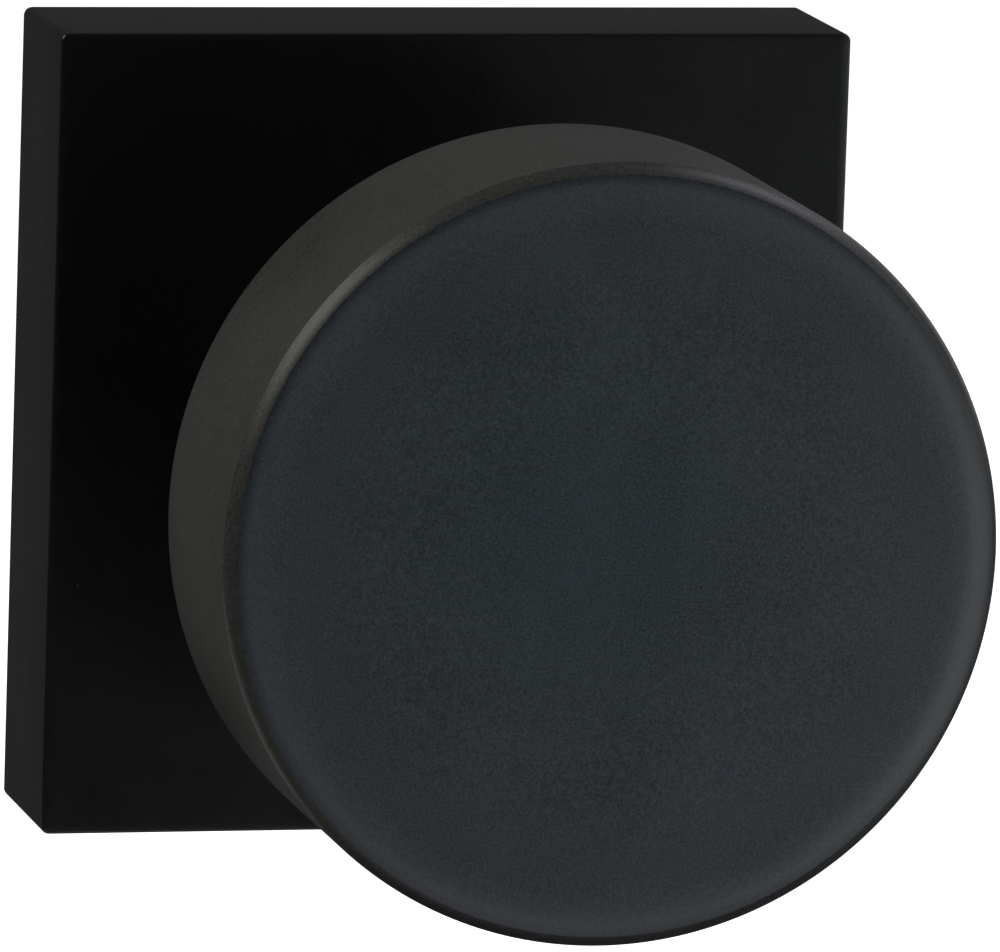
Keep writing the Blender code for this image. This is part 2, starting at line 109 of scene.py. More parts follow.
# Fine bevels, and what counts as one point, as flat and as sharp when they are made
FINE_BEVEL = 0.00008
WIDE_BEVEL = 0.00012
PLATE_BEVEL = 0.00018
MERGE_DISTANCE = 1e-6
FLAT_ANGLE = math.radians(0.5)
SHARP_ANGLE = math.radians(30)

# The puck: a slightly crowned face that rolls off to a narrow rim, with a small fillet down to the wall
FACE_STEPS = 60
CROWN = 0.0005
ROLL_START = 0.925
ROLL_DROP = 0.00020
RIM_WIDTH = 0.00088
RIM_DEPTH = 0.0008
RIM_BULGE = 0.00006
CREASE_SETBACK = 0.00006
CREASE_FILLET = 0.00015
CREASE_DROP = 0.00005
BACK_FILLET = 0.0003
PUCK_WALL = 0.0021
FACE_BACKING = 0.0012
PLATE_PLAY = 0.00002

# The rosette
ROSETTE_CORNER = 0.0007
ROSETTE_INNER_CORNER = 0.0006
ROSETTE_EDGE = 0.0002
CORNER_SHRINK = 0.6
ROSETTE_WALL = 0.0024
ROSETTE_FRONT = 0.0020
BUSH_WALL = 0.0013
BOSS_WALL = 0.0014

# The neck's groove for the snap ring
GROOVE_PLACE = 0.0005
GROOVE_WIDTH = 0.0012
GROOVE_RADIUS = 0.0112

# The mounting plate: its tray, tabs, holes and windows
PLATE_THICK = 0.0022
PLATE_RIM_OUT = 0.0045
PLATE_RIM_WALL = 0.0013
PLATE_CORNER = 0.0010
PLATE_INNER_CORNER = 0.0008
TAB_WIDTH = 0.0120
TAB_THICK = 0.0015
TAB_INSET = 0.0018
BOLT_HOLE_RADIUS = 0.0023
SCREW_HOLE_RADIUS = 0.0015
WINDOW_PLACE = 0.0225
WINDOW_HALF = 0.0035
WINDOW_CORNER = 0.0012

# Where the two through bolts and the four lid screws are, as in the CAD
BOLT_PLACE = 0.0190
SCREW_PLACE = 0.0119

# Their shank radius, thread pitch, thread length, and the head's height over its radius
BOLT = (0.0020, 0.0007, 0.024, 0.0024 / 0.0034)
LID_SCREW = (0.0012, 0.00045, 0.0060, 0.0014 / 0.0022)

# The return spring, as in the CAD
SPRING_RADIUS = 0.0110
SPRING_WIRE = 0.0006
SPRING_TURNS = 2.5
SPRING_BEND = 0.0015
SPRING_LEG_IN = 0.0083
SPRING_LEG_OUT = 0.0144
SPRING_LOW = 0.0043
SPRING_HIGH = 0.0077


# ---------------------------------------------------------------- mesh tools


def at(x, out, z):
    """A point from its distance out from the door."""
    return Vector((x, -out, z))


def circle(radius, out, count):
    """Points round the Y axis."""
    angles = [2 * math.pi * i / count for i in range(count)]
    return [at(radius * math.cos(a), out, radius * math.sin(a)) for a in angles]


def fillet(centre, radius, start, end, steps=4):
    """(radius, out) points on an arc. Degrees: 0 points away from the axis, 90 outwards from the door."""
    points = []
    for i in range(steps + 1):
        a = math.radians(start + (end - start) * i / steps)
        points.append((centre[0] + radius * math.cos(a), centre[1] + radius * math.sin(a)))
    return points


def skin(loops, closed):
    """A bmesh of quads between loops of points. A loop of one point closes to a fan."""
    bm = bmesh.new()
    rows = [[bm.verts.new(p) for p in loop] for loop in loops]
    pairs = list(zip(rows, rows[1:]))
    if closed:
        pairs.append((rows[-1], rows[0]))
    for first, second in pairs:
        for i in range(max(len(first), len(second))):
            corners = []
            for row, j in ((first, i), (first, i + 1), (second, i + 1), (second, i)):
                vert = row[j % len(row)]
                if vert not in corners:
                    corners.append(vert)
            bm.faces.new(corners)
    return bm


def turned(outline, count=SEGMENTS):
    """A bmesh turned round the Y axis from (radius, out) points: a ring if it is clear of the axis."""
    loops = [circle(r, out, count) if r > 0 else [at(0, out, 0)] for r, out in outline]
    return skin(loops, closed=outline[0][0] > 0)


def capped(loops):
    """A closed bmesh of quads between loops, with a flat face on the first and the last."""
    bm = skin(loops, closed=False)
    bm.verts.ensure_lookup_table()
    count = len(loops[0])
    bm.faces.new(bm.verts[:count])
    bm.faces.new(bm.verts[-count:])
    return bm


def shifted(bm, x, z):
    """The same bmesh, moved across the door's face."""
    bmesh.ops.translate(bm, vec=(x, 0, z), verts=bm.verts)
    return bm


def rod(radius, start, end, count):
    """A plain cylinder along the Y axis, to cut with."""
    return turned([(0, start), (radius, start), (radius, end), (0, end)], count)


def upright_rod(radius, low, high, out, count=48):
    """A plain cylinder along Z, at a distance out from the door."""
    bm = rod(radius, -high, -low, count)
    bmesh.ops.rotate(bm, matrix=Matrix.Rotation(math.radians(90), 3, "X"), verts=bm.verts)
    bmesh.ops.translate(bm, vec=at(0, out, 0), verts=bm.verts)
    return bm


def solid(bm):
    """A bmesh as an object of its own, for a Boolean."""
    bmesh.ops.recalc_face_normals(bm, faces=bm.faces)
    mesh = bpy.data.meshes.new("solid")
    bm.to_mesh(mesh)
    bm.free()
    obj = bpy.data.objects.new("solid", mesh)
    bpy.context.scene.collection.objects.link(obj)
    return obj


def carved(bm, tools, operation="DIFFERENCE"):
    """A solid with each tool cut from it, or joined on, as a bmesh."""
    block = solid(bm)
    made = [solid(tool) for tool in tools]
    for tool in made:
        step = block.modifiers.new("step", "BOOLEAN")
        step.operation = operation
        step.object = tool
        step.solver = "EXACT"
    result = bmesh.new()
    result.from_object(block, bpy.context.evaluated_depsgraph_get())
    for obj in [block] + made:
        mesh = obj.data
        bpy.data.objects.remove(obj)
        bpy.data.meshes.remove(mesh)
    return result


def softened(bm, width):
    """A solid with a fine bevel on its sharp edges."""
    bmesh.ops.remove_doubles(bm, verts=bm.verts, dist=MERGE_DISTANCE)
    bmesh.ops.dissolve_limit(bm, angle_limit=FLAT_ANGLE, verts=bm.verts[:], edges=bm.edges[:])
    edges = [e for e in bm.edges if e.is_manifold and e.calc_face_angle(0.0) > SHARP_ANGLE]
    bmesh.ops.bevel(
        bm,
        geom=edges,
        offset=width,
        offset_type="OFFSET",
        segments=2,
        profile=0.5,
        affect="EDGES",
        clamp_overlap=True,
    )
    return bm


def make_piece(name, bm, material, body, node, sharp=38):
    """Turns a bmesh into a piece that stands for a CAD node and rides on a body, if one is given."""
    bmesh.ops.recalc_face_normals(bm, faces=bm.faces)
    mesh = bpy.data.meshes.new(name)
    bm.to_mesh(mesh)
    bm.free()
    mesh.shade_smooth()
    mesh.set_sharp_from_angle(angle=math.radians(sharp))
    mesh.materials.append(material)
    obj = bpy.data.objects.new(name, mesh)
    bpy.context.scene.collection.objects.link(obj)
    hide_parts(node)
    if body:
        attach(obj, body)
    return obj


# ---------------------------------------------------------------- materials


class Nodes:
    """Short calls for building a procedural material round one Principled shader."""

    def __init__(self, name):
        self.material = bpy.data.materials.new(name)
        self.material.use_nodes = True
        self.tree = self.material.node_tree
        self.shader = self.tree.nodes["Principled BSDF"]
        self.place = self.tree.nodes.new("ShaderNodeTexCoord").outputs["Object"]

    def link(self, output, target):
        self.tree.links.new(output, target)

    def stretched(self, scale):
        """The object's coordinates, scaled by axis."""
        mapping = self.tree.nodes.new("ShaderNodeMapping")
        mapping.inputs["Scale"].default_value = scale
        self.link(self.place, mapping.inputs["Vector"])
        return mapping.outputs["Vector"]

    def noise(self, size, detail=3.0, roughness=0.5, vector=None, distortion=0.0):
        """Noise whose features are about size across, in metres."""
        node = self.tree.nodes.new("ShaderNodeTexNoise")
        node.inputs["Scale"].default_value = 1.0 / size
        node.inputs["Detail"].default_value = detail
        node.inputs["Roughness"].default_value = roughness
        node.inputs["Distortion"].default_value = distortion
        self.link(vector or self.place, node.inputs["Vector"])
        return node.outputs["Fac"]

    def cells(self, size):
        """Distance to the nearest of scattered points, size apart."""
        node = self.tree.nodes.new("ShaderNodeTexVoronoi")
        node.inputs["Scale"].default_value = 1.0 / size
        self.link(self.place, node.inputs["Vector"])
        return node.outputs["Distance"]

    def spread(self, value, low, high, start=0.0, end=1.0):
        """Maps value from low..high to start..end, held at its ends."""
        node = self.tree.nodes.new("ShaderNodeMapRange")
        node.inputs["From Min"].default_value = low
        node.inputs["From Max"].default_value = high
        node.inputs["To Min"].default_value = start
        node.inputs["To Max"].default_value = end
        self.link(value, node.inputs["Value"])
        return node.outputs["Result"]

    def math(self, operation, first, second):
        node = self.tree.nodes.new("ShaderNodeMath")
        node.operation = operation
        for value, slot in ((first, node.inputs[0]), (second, node.inputs[1])):
            if isinstance(value, (int, float)):
                slot.default_value = value
            else:
                self.link(value, slot)
        return node.outputs[0]

    def mix(self, factor, first, second):
        """A colour between two, each a colour or another node's output."""
        node = self.tree.nodes.new("ShaderNodeMix")
        node.data_type = "RGBA"
        self.link(factor, node.inputs["Factor"])
        for value, slot in ((first, node.inputs[6]), (second, node.inputs[7])):
            if isinstance(value, tuple):
                slot.default_value = (*value, 1.0)
            else:
                self.link(value, slot)
        return node.outputs[2]

    def radius_from_axis(self):
        """Distance from the knob's axis, in metres."""
        flat = self.tree.nodes.new("ShaderNodeVectorMath")
        flat.operation = "MULTIPLY"
        flat.inputs[1].default_value = (1.0, 0.0, 1.0)
        self.link(self.place, flat.inputs[0])
        length = self.tree.nodes.new("ShaderNodeVectorMath")
        length.operation = "LENGTH"
        self.link(flat.outputs["Vector"], length.inputs[0])
        return length.outputs["Value"]

    def bump(self, height, depth, normal=None):
        """Bump of the given depth in metres, on top of another one."""
        node = self.tree.nodes.new("ShaderNodeBump")
        node.inputs["Strength"].default_value = 1.0
        node.inputs["Distance"].default_value = depth
        self.link(height, node.inputs["Height"])
        if normal:
            self.link(normal, node.inputs["Normal"])
        return node.outputs["Normal"]

    def set(self, **sockets):
        """Sets the shader's inputs: base_color="..." and so on, each a value or a node's output."""
        for name, value in sockets.items():
            slot = self.shader.inputs[name.replace("_", " ").title().replace("Ior", "IOR")]
            if isinstance(value, bpy.types.NodeSocket):
                self.link(value, slot)
            else:
                slot.default_value = value


def coat_grain(n, dark, light, roughness, pit_depth):
    """Fine powder-coat grain: tone, roughness and relief from the same noise, over slow clouds."""
    grain = n.noise(GRAIN_SIZE, detail=2.0, roughness=0.8)
    cloud = n.noise(CLOUD_SIZE, detail=3.0, roughness=0.6, distortion=0.4)
    mottle = n.noise(MOTTLE_SIZE, detail=2.0)
    level = n.math("ADD", n.spread(grain, 0.22, 0.78, -0.33, 1.02), n.spread(mottle, 0.3, 0.7, 0.0, 0.06))
    tone = n.mix(level, dark, light)
    tone = n.mix(n.spread(cloud, 0.3, 0.7, 0.0, 0.14), tone, light)
    rough = n.spread(cloud, 0.25, 0.75, roughness - 0.03, roughness + 0.03)
    rough = n.math("ADD", rough, n.spread(grain, 0.3, 0.7, -0.03, 0.03))
    relief = n.bump(grain, pit_depth, n.bump(mottle, pit_depth * 0.6))
    n.shader.inputs["IOR"].default_value = COAT_IOR
    return tone, rough, relief


def with_dust(n, tone):
    """A few pale dust specks, each a fraction of a millimetre across."""
    speck = n.spread(n.cells(DUST_SPACING), 0.030, 0.055, DUST_STRENGTH, 0.0)
    rare = n.spread(n.noise(DUST_PATCH_SIZE, detail=0.0), 0.60, 0.66)
    return n.mix(n.math("MULTIPLY", speck, rare), tone, DUST_COLOUR)


def coating(name, dark, light, roughness):
    """Satin black coating for the rosette, the wall of the puck and the neck."""
    n = Nodes(name)
    tone, rough, relief = coat_grain(n, dark, light, roughness, WALL_PIT_DEPTH)
    n.set(base_color=with_dust(n, tone), roughness=rough, normal=relief)
    return n.material


def face_coating(name, dark, light, roughness):
    """The puck's face: bluer and grainier, with painted light that makes it paler outwards and in a ring
    inside its edge, and painted shade that makes it dark at the rim.
    """
    n = Nodes(name)
    tone, rough, relief = coat_grain(n, dark, light, roughness, FACE_PIT_DEPTH)
    share = n.math("DIVIDE", n.radius_from_axis(), FACE_RADIUS)
    # Painted light: paler towards the edge and in a ring just inside it, standing in for the lights'
    # reflection in the face's rolled edge.
    painted_light_outward = n.spread(share, 0.15, 0.90, 0.0, 0.14)
    painted_halo_ring = n.math("MULTIPLY", n.spread(share, 0.88, 0.965, 0.0, PAINTED_HALO_SHARE), n.spread(share, 0.965, 1.0, 1.0, 0.0))
    tone = n.mix(n.math("ADD", painted_light_outward, painted_halo_ring), tone, PAINTED_HALO_COLOUR)
    # Painted shade: the colour darkens at the face's outer edge, standing in for the dark line where the
    # face meets the rim.
    tone = n.mix(n.spread(share, 0.975, 1.0, 0.0, 0.5), tone, FACE_EDGE_SHADE_COLOUR)
    n.set(base_color=with_dust(n, tone), roughness=rough, normal=relief)
    return n.material


def cast_zinc(name):
    """Die-cast zinc: dull grey, a fine sandy skin and faint flow clouds."""
    n = Nodes(name)
    sand = n.noise(0.00035, detail=3.0, roughness=0.7)
    flow = n.noise(0.009, detail=4.0, distortion=1.2)
    tone = n.mix(n.spread(flow, 0.3, 0.7), (0.40, 0.41, 0.42), (0.52, 0.52, 0.52))
    tone = n.mix(n.spread(sand, 0.35, 0.8, 0.0, 0.35), tone, (0.28, 0.28, 0.29))
    rough = n.spread(sand, 0.3, 0.7, 0.36, 0.52)
    n.set(base_color=tone, metallic=1.0, roughness=rough, normal=n.bump(sand, 0.000012))
    return n.material


def drawn_metal(name, dark, light, roughness, stretch):
    """Metal with fine marks, drawn out along any axis whose stretch is under 1."""
    n = Nodes(name)
    streaks = n.noise(0.00022, detail=4.0, roughness=0.65, vector=n.stretched(stretch))
    cloud = n.noise(0.006, detail=3.0)
    tone = n.mix(n.spread(streaks, 0.3, 0.7), dark, light)
    rough = n.spread(streaks, 0.3, 0.7, roughness - 0.06, roughness + 0.06)
    rough = n.math("ADD", rough, n.spread(cloud, 0.3, 0.7, -0.03, 0.05))
    n.set(base_color=tone, metallic=1.0, roughness=rough, normal=n.bump(streaks, 0.000004))
    return n.material


def moulded_nylon(name):
    """Black nylon with a fine pebbled skin."""
    n = Nodes(name)
    pebble = n.cells(0.00045)
    cloud = n.noise(0.004, detail=2.0)
    tone = n.mix(n.spread(cloud, 0.3, 0.7), (0.012, 0.012, 0.013), (0.020, 0.020, 0.021))
    n.set(base_color=tone, roughness=n.spread(pebble, 0.0, 0.6, 0.48, 0.62), normal=n.bump(pebble, 0.00001))
    return n.material


PUCK_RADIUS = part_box("knob_shell")[1].x
FACE_RADIUS = PUCK_RADIUS - RIM_WIDTH

# How a metal's marks are stretched: drawn out along the Y axis, or the same all ways
DRAWN = (1.0, 0.04, 1.0)
EVEN = (1.0, 1.0, 1.0)

MATERIALS = {
    "coating": coating("coating", (0.020, 0.020, 0.0192), (0.077, 0.077, 0.0735), 0.35),
    # Painted shade: the rosette's coat is the same satin black as the knob's, its colours made far darker.
    "rosette_coating": coating("rosette_coating", (0.0014, 0.0028, 0.0014), (0.0036, 0.0054, 0.0036), 0.29),
    "face_coating": face_coating("face_coating", (0.004, 0.014, 0.020), (0.082, 0.106, 0.121), 0.36),
    "zinc_casting": cast_zinc("zinc_casting"),
    "plated_steel": drawn_metal("plated_steel", (0.50, 0.51, 0.52), (0.66, 0.66, 0.65), 0.30, DRAWN),
    "spring_steel": drawn_metal("spring_steel", (0.16, 0.155, 0.15), (0.30, 0.29, 0.28), 0.34, EVEN),
    "black_steel": drawn_metal("black_steel", (0.020, 0.020, 0.022), (0.045, 0.045, 0.048), 0.42, EVEN),
    "brass": drawn_metal("brass", (0.60, 0.42, 0.18), (0.78, 0.58, 0.30), 0.28, DRAWN),
    "nylon": moulded_nylon("nylon"),
}


def finish_cad_nodes():
    """Gives each CAD node the material of its slot."""
    slots = {part["node"]: part["material_slot"] for part in frame["record"]["subparts"]}
    for name, node in frame["nodes"].items():
        node.data.materials.clear()
        node.data.materials.append(MATERIALS[slots[name]])


# ---------------------------------------------------------------- visible pieces


def chamfer(inner, outer):
    """(radius, out) points from one corner of the rim to the other, along a shallow bow."""
    points = []
    steps = 10
    run = (outer[0] - inner[0], outer[1] - inner[1])
    length = math.hypot(*run)
    away = (-run[1] / length, run[0] / length)
    for i in range(1, steps + 1):
        share = i / steps
        lift = RIM_BULGE * 4 * share * (1 - share)
        radius = inner[0] + run[0] * share + away[0] * lift
        points.append((radius, inner[1] + run[1] * share + away[1] * lift))
    return points


def puck_pieces():
    """The puck: a crowned face that rolls off to a narrow rim, a straight wall and a flat back."""
    low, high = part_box("knob_shell")
    radius, back, front = high.x, -high.y, -low.y
    shoulder = front - CROWN - RIM_DEPTH
    outline = [(0, front)]
    for i in range(1, FACE_STEPS + 1):
        share = (i / FACE_STEPS) ** 0.6
        roll = max(0.0, (share - ROLL_START) / (1 - ROLL_START))
        outline.append((FACE_RADIUS * share, front - (CROWN - ROLL_DROP) * share**2 - ROLL_DROP * roll**2))
    outline += chamfer(outline[-1], (radius - CREASE_SETBACK, shoulder + CREASE_SETBACK))
    outline += fillet((radius - CREASE_FILLET, shoulder - CREASE_DROP), CREASE_FILLET, 45, 0)
    outline.append((radius, (shoulder + back) / 2))
    outline += fillet((radius - BACK_FILLET, back + BACK_FILLET), BACK_FILLET, 0, -90)
    inner = radius - PUCK_WALL
    inner_front = shoulder - FACE_BACKING
    outline += [(inner + EASE, back), (inner, back + EASE), (inner, inner_front), (0, inner_front)]
    coat = MATERIALS["coating"]
    shell = make_piece("puck_shell", turned(outline), coat, "knob", "knob_shell", sharp=16)
    shell.data.materials.append(MATERIALS["face_coating"])
    for polygon in shell.data.polygons:
        centre = polygon.center
        if math.hypot(centre.x, centre.z) < FACE_RADIUS and -centre.y > shoulder:
            polygon.material_index = 1

    plate_front = -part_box("knob_back_plate")[0].y
    plate_radius = inner - PLATE_PLAY
    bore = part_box("knob_neck")[1].x + EASE
    outline = [(bore, back + 2 * EASE), (bore + 2 * EASE, back)]
    outline += [(plate_radius - EASE, back), (plate_radius, back + EASE)]
    outline += [(plate_radius, plate_front), (bore, plate_front)]
    make_piece("puck_back", turned(outline), coat, "knob", "knob_back_plate")


def rounded_square(half, corner, out, side_steps=16, corner_steps=8):
    """Points round a square with rounded corners, the same number whatever its size."""
    points = []
    reach = half - corner
    for quarter in range(4):
        turn = quarter * math.pi / 2
        cosine, sine = math.cos(turn), math.sin(turn)
        local = []
        for i in range(side_steps):
            local.append((half, -reach + 2 * reach * i / side_steps))
        for i in range(corner_steps):
            a = i / corner_steps * math.pi / 2
            local.append((reach + corner * math.cos(a), reach + corner * math.sin(a)))
        points += [at(x * cosine - z * sine, out, x * sine + z * cosine) for x, z in local]
    return points


def matched_circle(radius, out, pattern):
    """A circle with one point in the direction of each point of another loop."""
    points = []
    for p in pattern:
        a = math.atan2(p.z, p.x)
        points.append(at(radius * math.cos(a), out, radius * math.sin(a)))
    return points


def rosette_piece():
    """The rosette: a square cap with eased front edges, a round hole and a boss for its grub screw."""
    low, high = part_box("rosette_cover")
    half, depth = high.x, -low.y
    inner_front = depth - ROSETTE_FRONT
    pattern = rounded_square(half, ROSETTE_CORNER, 0)
    hole_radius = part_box("knob_neck")[1].x + BUSH_WALL + CAD_GAP
    loops = [rounded_square(half - 2 * EASE, ROSETTE_CORNER, 0)]
    loops += [rounded_square(half, ROSETTE_CORNER, out) for out in (2 * EASE, depth / 2)]
    steps = 6
    for i in range(steps + 1):
        a = i / steps * math.pi / 2
        inset = ROSETTE_EDGE * (1 - math.cos(a))
        out = depth - ROSETTE_EDGE * (1 - math.sin(a))
        loops.append(rounded_square(half - inset, ROSETTE_CORNER - inset * CORNER_SHRINK, out))
    square = rounded_square(half - ROSETTE_EDGE, ROSETTE_CORNER - ROSETTE_EDGE * CORNER_SHRINK, depth)
    rim = matched_circle(hole_radius + 2 * EASE, depth, pattern)
    for share in (0.03, 0.10, 0.3, 0.6, 0.9):
        loops.append([p.lerp(q, share) for p, q in zip(square, rim)])
    loops.append(rim)
    loops += [matched_circle(hole_radius, out, pattern) for out in (depth - 2 * EASE, inner_front)]
    inside = half - ROSETTE_WALL
    loops += [rounded_square(inside, ROSETTE_INNER_CORNER, out) for out in (inner_front, 0.0)]
    grub_low, grub_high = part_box("rosette_grub_screw")
    grub_out = (grub_low.y + grub_high.y) / -2
    boss_radius = grub_high.x + BOSS_WALL
    boss = upright_rod(boss_radius, -half + ROSETTE_WALL / 2, -inside + BOSS_WALL, grub_out)
    hole = upright_rod(grub_high.x + CAD_GAP, -half - PAST, -inside + 3 * PAST, grub_out)
    bm = carved(carved(skin(loops, closed=True), [boss], "UNION"), [hole])
    coat = MATERIALS["rosette_coating"]
    make_piece("rosette_shell", bm, coat, "rose", "rosette_cover", sharp=30)


def neck_piece():
    """The neck: a tube with a groove for the snap ring and a hole below for its set screw."""
    low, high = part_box("knob_neck")
    radius, start, end = high.x, -high.y, -low.y
    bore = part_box("spindle_socket")[1].x + 2 * EASE
    groove_start = start + GROOVE_PLACE
    groove_end = groove_start + GROOVE_WIDTH
    outline = [(bore, start + 2 * EASE), (bore + 2 * EASE, start)]
    outline += [(radius - EASE, start), (radius, start + EASE)]
    outline += [(radius, groove_start), (GROOVE_RADIUS, groove_start)]
    outline += [(GROOVE_RADIUS, groove_end), (radius, groove_end)]
    outline += [(radius, end), (bore, end)]
    screw_low, screw_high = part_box("neck_set_screw")
    hole_out = (screw_low.y + screw_high.y) / -2
    hole = upright_rod(screw_high.x + CAD_GAP, -radius - PAST, 0, hole_out)
    bm = carved(turned(outline, 160), [hole])
    make_piece("neck_tube", bm, MATERIALS["coating"], "knob", "knob_neck")


def plate_piece():
    """The mounting plate: a die-cast tray with four windows, and a tab above and below for the rosette."""
    low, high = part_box("mounting_plate")
    half, tab_out = high.x, -low.y
    tray = half - PLATE_RIM_WALL
    loops = [rounded_square(half, PLATE_CORNER, out) for out in (0, PLATE_RIM_OUT)]
    loops += [rounded_square(tray, PLATE_INNER_CORNER, out) for out in (PLATE_RIM_OUT, PLATE_THICK)]
    tabs = []
    for side in (-1, 1):
        middle = side * (half - TAB_INSET - TAB_THICK / 2)
        tab = bmesh.new()
        bmesh.ops.create_cube(tab, size=1.0)
        bmesh.ops.scale(tab, vec=(TAB_WIDTH, tab_out - PLATE_THICK / 2, TAB_THICK), verts=tab.verts)
        bmesh.ops.translate(tab, vec=at(0, (tab_out + PLATE_THICK / 2) / 2, middle), verts=tab.verts)
        tabs.append(tab)
    start, end = -PAST, PLATE_THICK + PAST
    holes = [rod(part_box("drive_hub")[1].x + 2 * CAD_GAP, start, end, 96)]
    for side in (-1, 1):
        holes.append(shifted(rod(BOLT_HOLE_RADIUS, start, end, 48), side * BOLT_PLACE, 0))
    for x, z in corners(SCREW_PLACE):
        holes.append(shifted(rod(SCREW_HOLE_RADIUS, start, end, 32), x, z))
    for x, z in corners(WINDOW_PLACE):
        window = capped([rounded_square(WINDOW_HALF, WINDOW_CORNER, out, 4, 6) for out in (start, end)])
        holes.append(shifted(window, x, z))
    bm = softened(carved(carved(capped(loops), tabs, "UNION"), holes), PLATE_BEVEL)
    zinc = MATERIALS["zinc_casting"]
    make_piece("fixing_plate", bm, zinc, "rose", "mounting_plate", sharp=20)


def corners(place):
    """(x, z) of the four corners of a square round the axis."""
    return [(x * place, z * place) for x in (-1, 1) for z in (-1, 1)]


def refined_pieces():
    """Pieces that keep their CAD shape and gain a fine bevel on their sharp edges."""
    pieces = [
        ("sprung_case", "spring_housing", "rose", "zinc_casting", WIDE_BEVEL),
        ("case_lid", "housing_lid", "rose", "zinc_casting", FINE_BEVEL),
        ("square_drive", "drive_hub", "knob", "zinc_casting", WIDE_BEVEL),
        ("square_bar", "spindle", "knob", "plated_steel", FINE_BEVEL),
        ("neck_insert", "spindle_socket", "knob", "brass", WIDE_BEVEL),
        ("snap_ring", "retaining_ring", "knob", "spring_steel", FINE_BEVEL),
        ("bolt_ring_left", "bolt_washer_left", "rose", "plated_steel", FINE_BEVEL),
        ("bolt_ring_right", "bolt_washer_right", "rose", "plated_steel", FINE_BEVEL),
        ("rosette_screw", "rosette_grub_screw", "rose", "plated_steel", FINE_BEVEL),
        ("neck_screw", "neck_set_screw", "knob", "plated_steel", FINE_BEVEL),
    ]
    for name, node, body, slot, width in pieces:
        bm = bmesh.new()
        bm.from_mesh(frame["nodes"][node].data)
        make_piece(name, softened(bm, width), MATERIALS[slot], body, node, sharp=20)


# ---------------------------------------------------------------- screws and spring


def cross_outline(width, reach, out):
    """Points round a cross: 12 straight stretches of 3 points each."""
    painted_halo_ring = []
    for quarter in range(4):
        turn = quarter * math.pi / 2
        cosine, sine = math.cos(turn), math.sin(turn)
        for x, z in ((reach, -width), (reach, width), (width, width)):
            painted_halo_ring.append((x * cosine - z * sine, x * sine + z * cosine))
    points = []
    for (x, z), (next_x, next_z) in zip(painted_halo_ring, painted_halo_ring[1:] + painted_halo_ring[:1]):
        for i in range(3):
            points.append(at(x + (next_x - x) * i / 3, out, z + (next_z - z) * i / 3))
    return points


def threaded_screw(name, node, sizes):
    """A pan-head cross-recess screw in place of a CAD one, with a rolled thread at its tip."""
    shank, pitch, thread, head_share = sizes
    low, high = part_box(node)
    middle_x, middle_z = (low.x + high.x) / 2, (low.z + high.z) / 2
    head = (high.x - low.x) / 2
    tip, top = -high.y, -low.y
    height = head * head_share
    under = top - height
    pattern = cross_outline(0.15 * head, 0.60 * head, 0)
    depth = 0.55 * pitch
    rows_each = 8
    loops = [[at(0, tip, 0)], matched_circle(shank - depth, tip, pattern)]
    rows = round(thread / pitch * rows_each)
    for row in range(rows + 1):
        out = tip + depth + thread * row / rows
        fade = min(1.0, row / rows_each, (rows - row) / rows_each)
        loop = []
        for p in pattern:
            a = math.atan2(p.z, p.x)
            wave = 0.5 - 0.5 * math.cos(2 * math.pi * row / rows_each - a)
            radius = shank - depth * (1 - fade) * (row < rows / 2) - depth * fade * wave
            loop.append(at(radius * math.cos(a), out, radius * math.sin(a)))
        loops.append(loop)
    loops.append(matched_circle(shank, under - EASE, pattern))
    loops.append(matched_circle(shank + EASE, under, pattern))
    loops.append(matched_circle(head - FINE_BEVEL, under, pattern))
    loops.append(matched_circle(head, under + FINE_BEVEL, pattern))
    for share, rise in ((1.0, 0.40), (0.985, 0.60), (0.94, 0.77), (0.86, 0.90), (0.76, 0.97), (0.66, 1.0)):
        loops.append(matched_circle(head * share, under + height * rise, pattern))
    loops.append(cross_outline(0.15 * head, 0.60 * head, top))
    loops.append(cross_outline(0.14 * head, 0.585 * head, top - 0.03 * height))
    loops.append(cross_outline(0.10 * head, 0.40 * head, under + 0.36 * height))
    loops.append([at(0, under + 0.30 * height, 0)])
    bm = shifted(skin(loops, closed=False), middle_x, middle_z)
    make_piece(name, bm, MATERIALS["plated_steel"], "rose", node, sharp=40)


def spring_centre_line():
    """The wire's centre line: outer leg below the axis, coil, inner leg above the axis."""
    steps_each = 72
    bend_steps = 10
    outer_middle = SPRING_RADIUS + SPRING_BEND
    inner_middle = SPRING_RADIUS - SPRING_BEND
    outer_angle = math.asin(SPRING_BEND / outer_middle)
    inner_angle = math.asin(SPRING_BEND / inner_middle)
    flat = []
    for i in range(4):
        flat.append((SPRING_LEG_OUT - 0.0004 * i, 0.0, SPRING_LOW))
    for i in range(bend_steps + 1):
        a = math.radians(270) - i / bend_steps * (math.radians(90) - outer_angle)
        u = outer_middle * math.cos(outer_angle) + SPRING_BEND * math.cos(a)
        flat.append((u, SPRING_BEND + SPRING_BEND * math.sin(a), SPRING_LOW))
    turned_by = SPRING_TURNS * 2 * math.pi
    sweep = turned_by - outer_angle - inner_angle
    coil_steps = round(SPRING_TURNS * steps_each)
    for i in range(1, coil_steps + 1):
        a = outer_angle + sweep * i / coil_steps
        rise = SPRING_LOW + (SPRING_HIGH - SPRING_LOW) * i / coil_steps
        flat.append((SPRING_RADIUS * math.cos(a), SPRING_RADIUS * math.sin(a), rise))
    ends = []
    for i in range(1, bend_steps + 1):
        a = -inner_angle + i / bend_steps * (math.radians(90) + inner_angle)
        u = inner_middle * math.cos(inner_angle) + SPRING_BEND * math.cos(a)
        ends.append((u, -SPRING_BEND + SPRING_BEND * math.sin(a)))
    ends += [(SPRING_LEG_IN + 0.0004, 0.0), (SPRING_LEG_IN, 0.0)]
    cosine, sine = math.cos(turned_by), math.sin(turned_by)
    for u, v in ends:
        flat.append((u * cosine - v * sine, u * sine + v * cosine, SPRING_HIGH))
    return [at(-v, out, -u) for u, v, out in flat]


